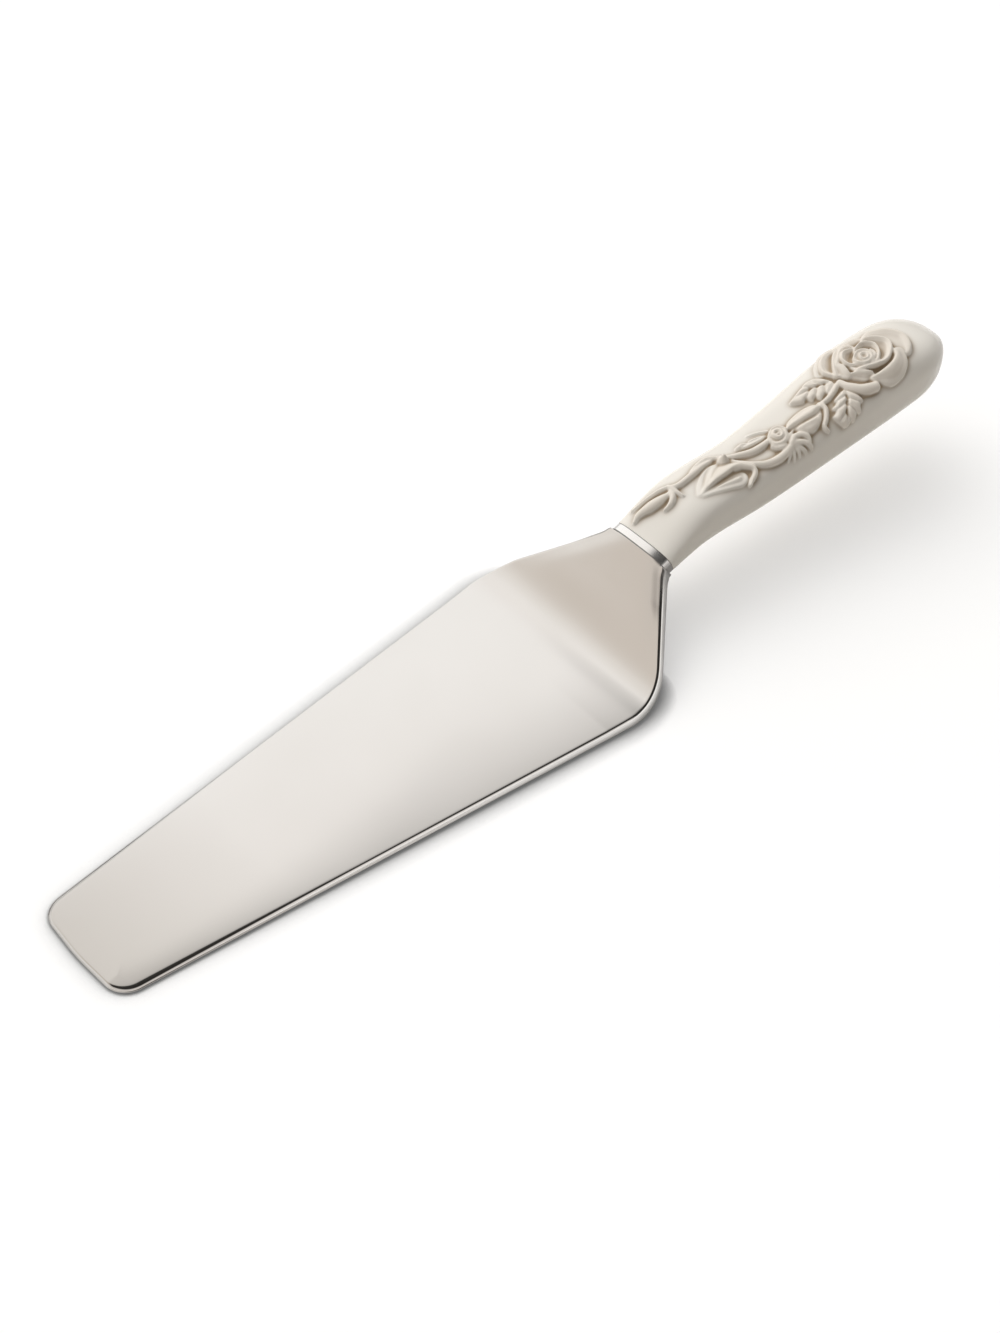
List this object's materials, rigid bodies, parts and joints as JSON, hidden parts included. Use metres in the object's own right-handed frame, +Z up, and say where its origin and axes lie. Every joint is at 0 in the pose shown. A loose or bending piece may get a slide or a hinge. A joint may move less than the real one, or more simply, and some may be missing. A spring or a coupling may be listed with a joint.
{
  "type": "cake server",
  "caption": "Cake server with a flat tapered steel blade, a cranked shoulder, a slim collar and a rounded ivory handle with a raised rose spray, for cutting and lifting slices.",
  "frame": {"origin": "centre of the bounding box, on the plane of the blade's flat underside", "axes": "+X from the blade's tip towards the butt of the handle, +Y across the blade, +Z up from the blade's underside"},
  "size_m": [0.2616, 0.0588, 0.0377],
  "materials": {
    "blade_steel": "polished",
    "collar_steel": "polished",
    "handle_glaze": "gloss",
    "cement": "matte"
  },
  "bodies": {
    "root": {"blade": "blade_steel", "collar": "collar_steel", "handle": "handle_glaze", "cement": "cement"}
  },
  "joints": []
}
